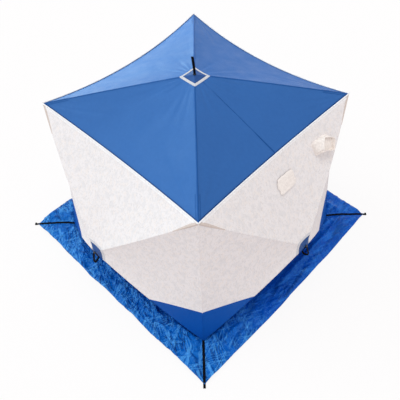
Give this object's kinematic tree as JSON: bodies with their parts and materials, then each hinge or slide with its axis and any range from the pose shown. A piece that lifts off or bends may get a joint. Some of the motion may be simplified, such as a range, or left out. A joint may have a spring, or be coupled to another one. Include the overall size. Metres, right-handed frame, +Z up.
{
  "type": "ice fishing hut",
  "caption": "Pop-up cube tent for ice fishing: blue roof, pale camouflage walls pulled out by sprung hubs, blue lower band and a snow skirt with corner straps.",
  "frame": {"origin": "ground level under the middle of the tent", "axes": "+Z up, the front wall faces -Y and the wall with the vents faces +X"},
  "size_m": [2.8914, 2.8914, 2.3613],
  "materials": {
    "roof_cloth": "satin coated cloth",
    "wall_cloth": "matt cloth with a faint pale camouflage print",
    "band_cloth": "smooth coated cloth",
    "skirt_cloth": "crinkled glossy coated cloth",
    "zip_tape": "woven tape",
    "pale_trim": "satin tape",
    "hub_plastic": "moulded, satin",
    "pole_fibre": "smooth glass fibre",
    "patch_cloth": "satin coated cloth",
    "webbing": "woven webbing"
  },
  "bodies": {
    "root": {"roof_front_panel": "roof_cloth", "roof_right_panel": "roof_cloth", "roof_back_panel": "roof_cloth", "roof_left_panel": "roof_cloth", "front_wall": "wall_cloth", "right_wall": "wall_cloth", "back_wall": "wall_cloth", "left_wall": "wall_cloth", "front_wall_band": "band_cloth", "right_wall_band": "band_cloth", "back_wall_band": "band_cloth", "left_wall_band": "band_cloth", "front_skirt": "skirt_cloth", "right_skirt": "skirt_cloth", "back_skirt": "skirt_cloth", "left_skirt": "skirt_cloth", "door_flap": "wall_cloth", "door_flap_foot": "band_cloth", "door_zip": "zip_tape", "eave_piping": "pale_trim", "upper_pole_tips": "hub_plastic", "lower_pole_tips": "hub_plastic", "roof_hub": "hub_plastic", "front_hub": "hub_plastic", "right_hub": "hub_plastic", "back_hub": "hub_plastic", "left_hub": "hub_plastic", "roof_poles": "pole_fibre", "front_poles": "pole_fibre", "right_poles": "pole_fibre", "back_poles": "pole_fibre", "left_poles": "pole_fibre", "roof_hub_patch": "patch_cloth", "front_hub_patch": "patch_cloth", "right_hub_patch": "patch_cloth", "back_hub_patch": "patch_cloth", "left_hub_patch": "patch_cloth", "hub_patch_bindings": "pale_trim", "roof_pull_strap": "webbing", "front_pull_loop": "webbing", "right_pull_loop": "webbing", "back_pull_loop": "webbing", "left_pull_loop": "webbing", "front_right_corner_strap": "webbing", "back_right_corner_strap": "webbing", "back_left_corner_strap": "webbing", "front_left_corner_strap": "webbing", "far_vent_sleeve": "wall_cloth", "middle_vent_sleeve": "wall_cloth"}
  },
  "joints": []
}
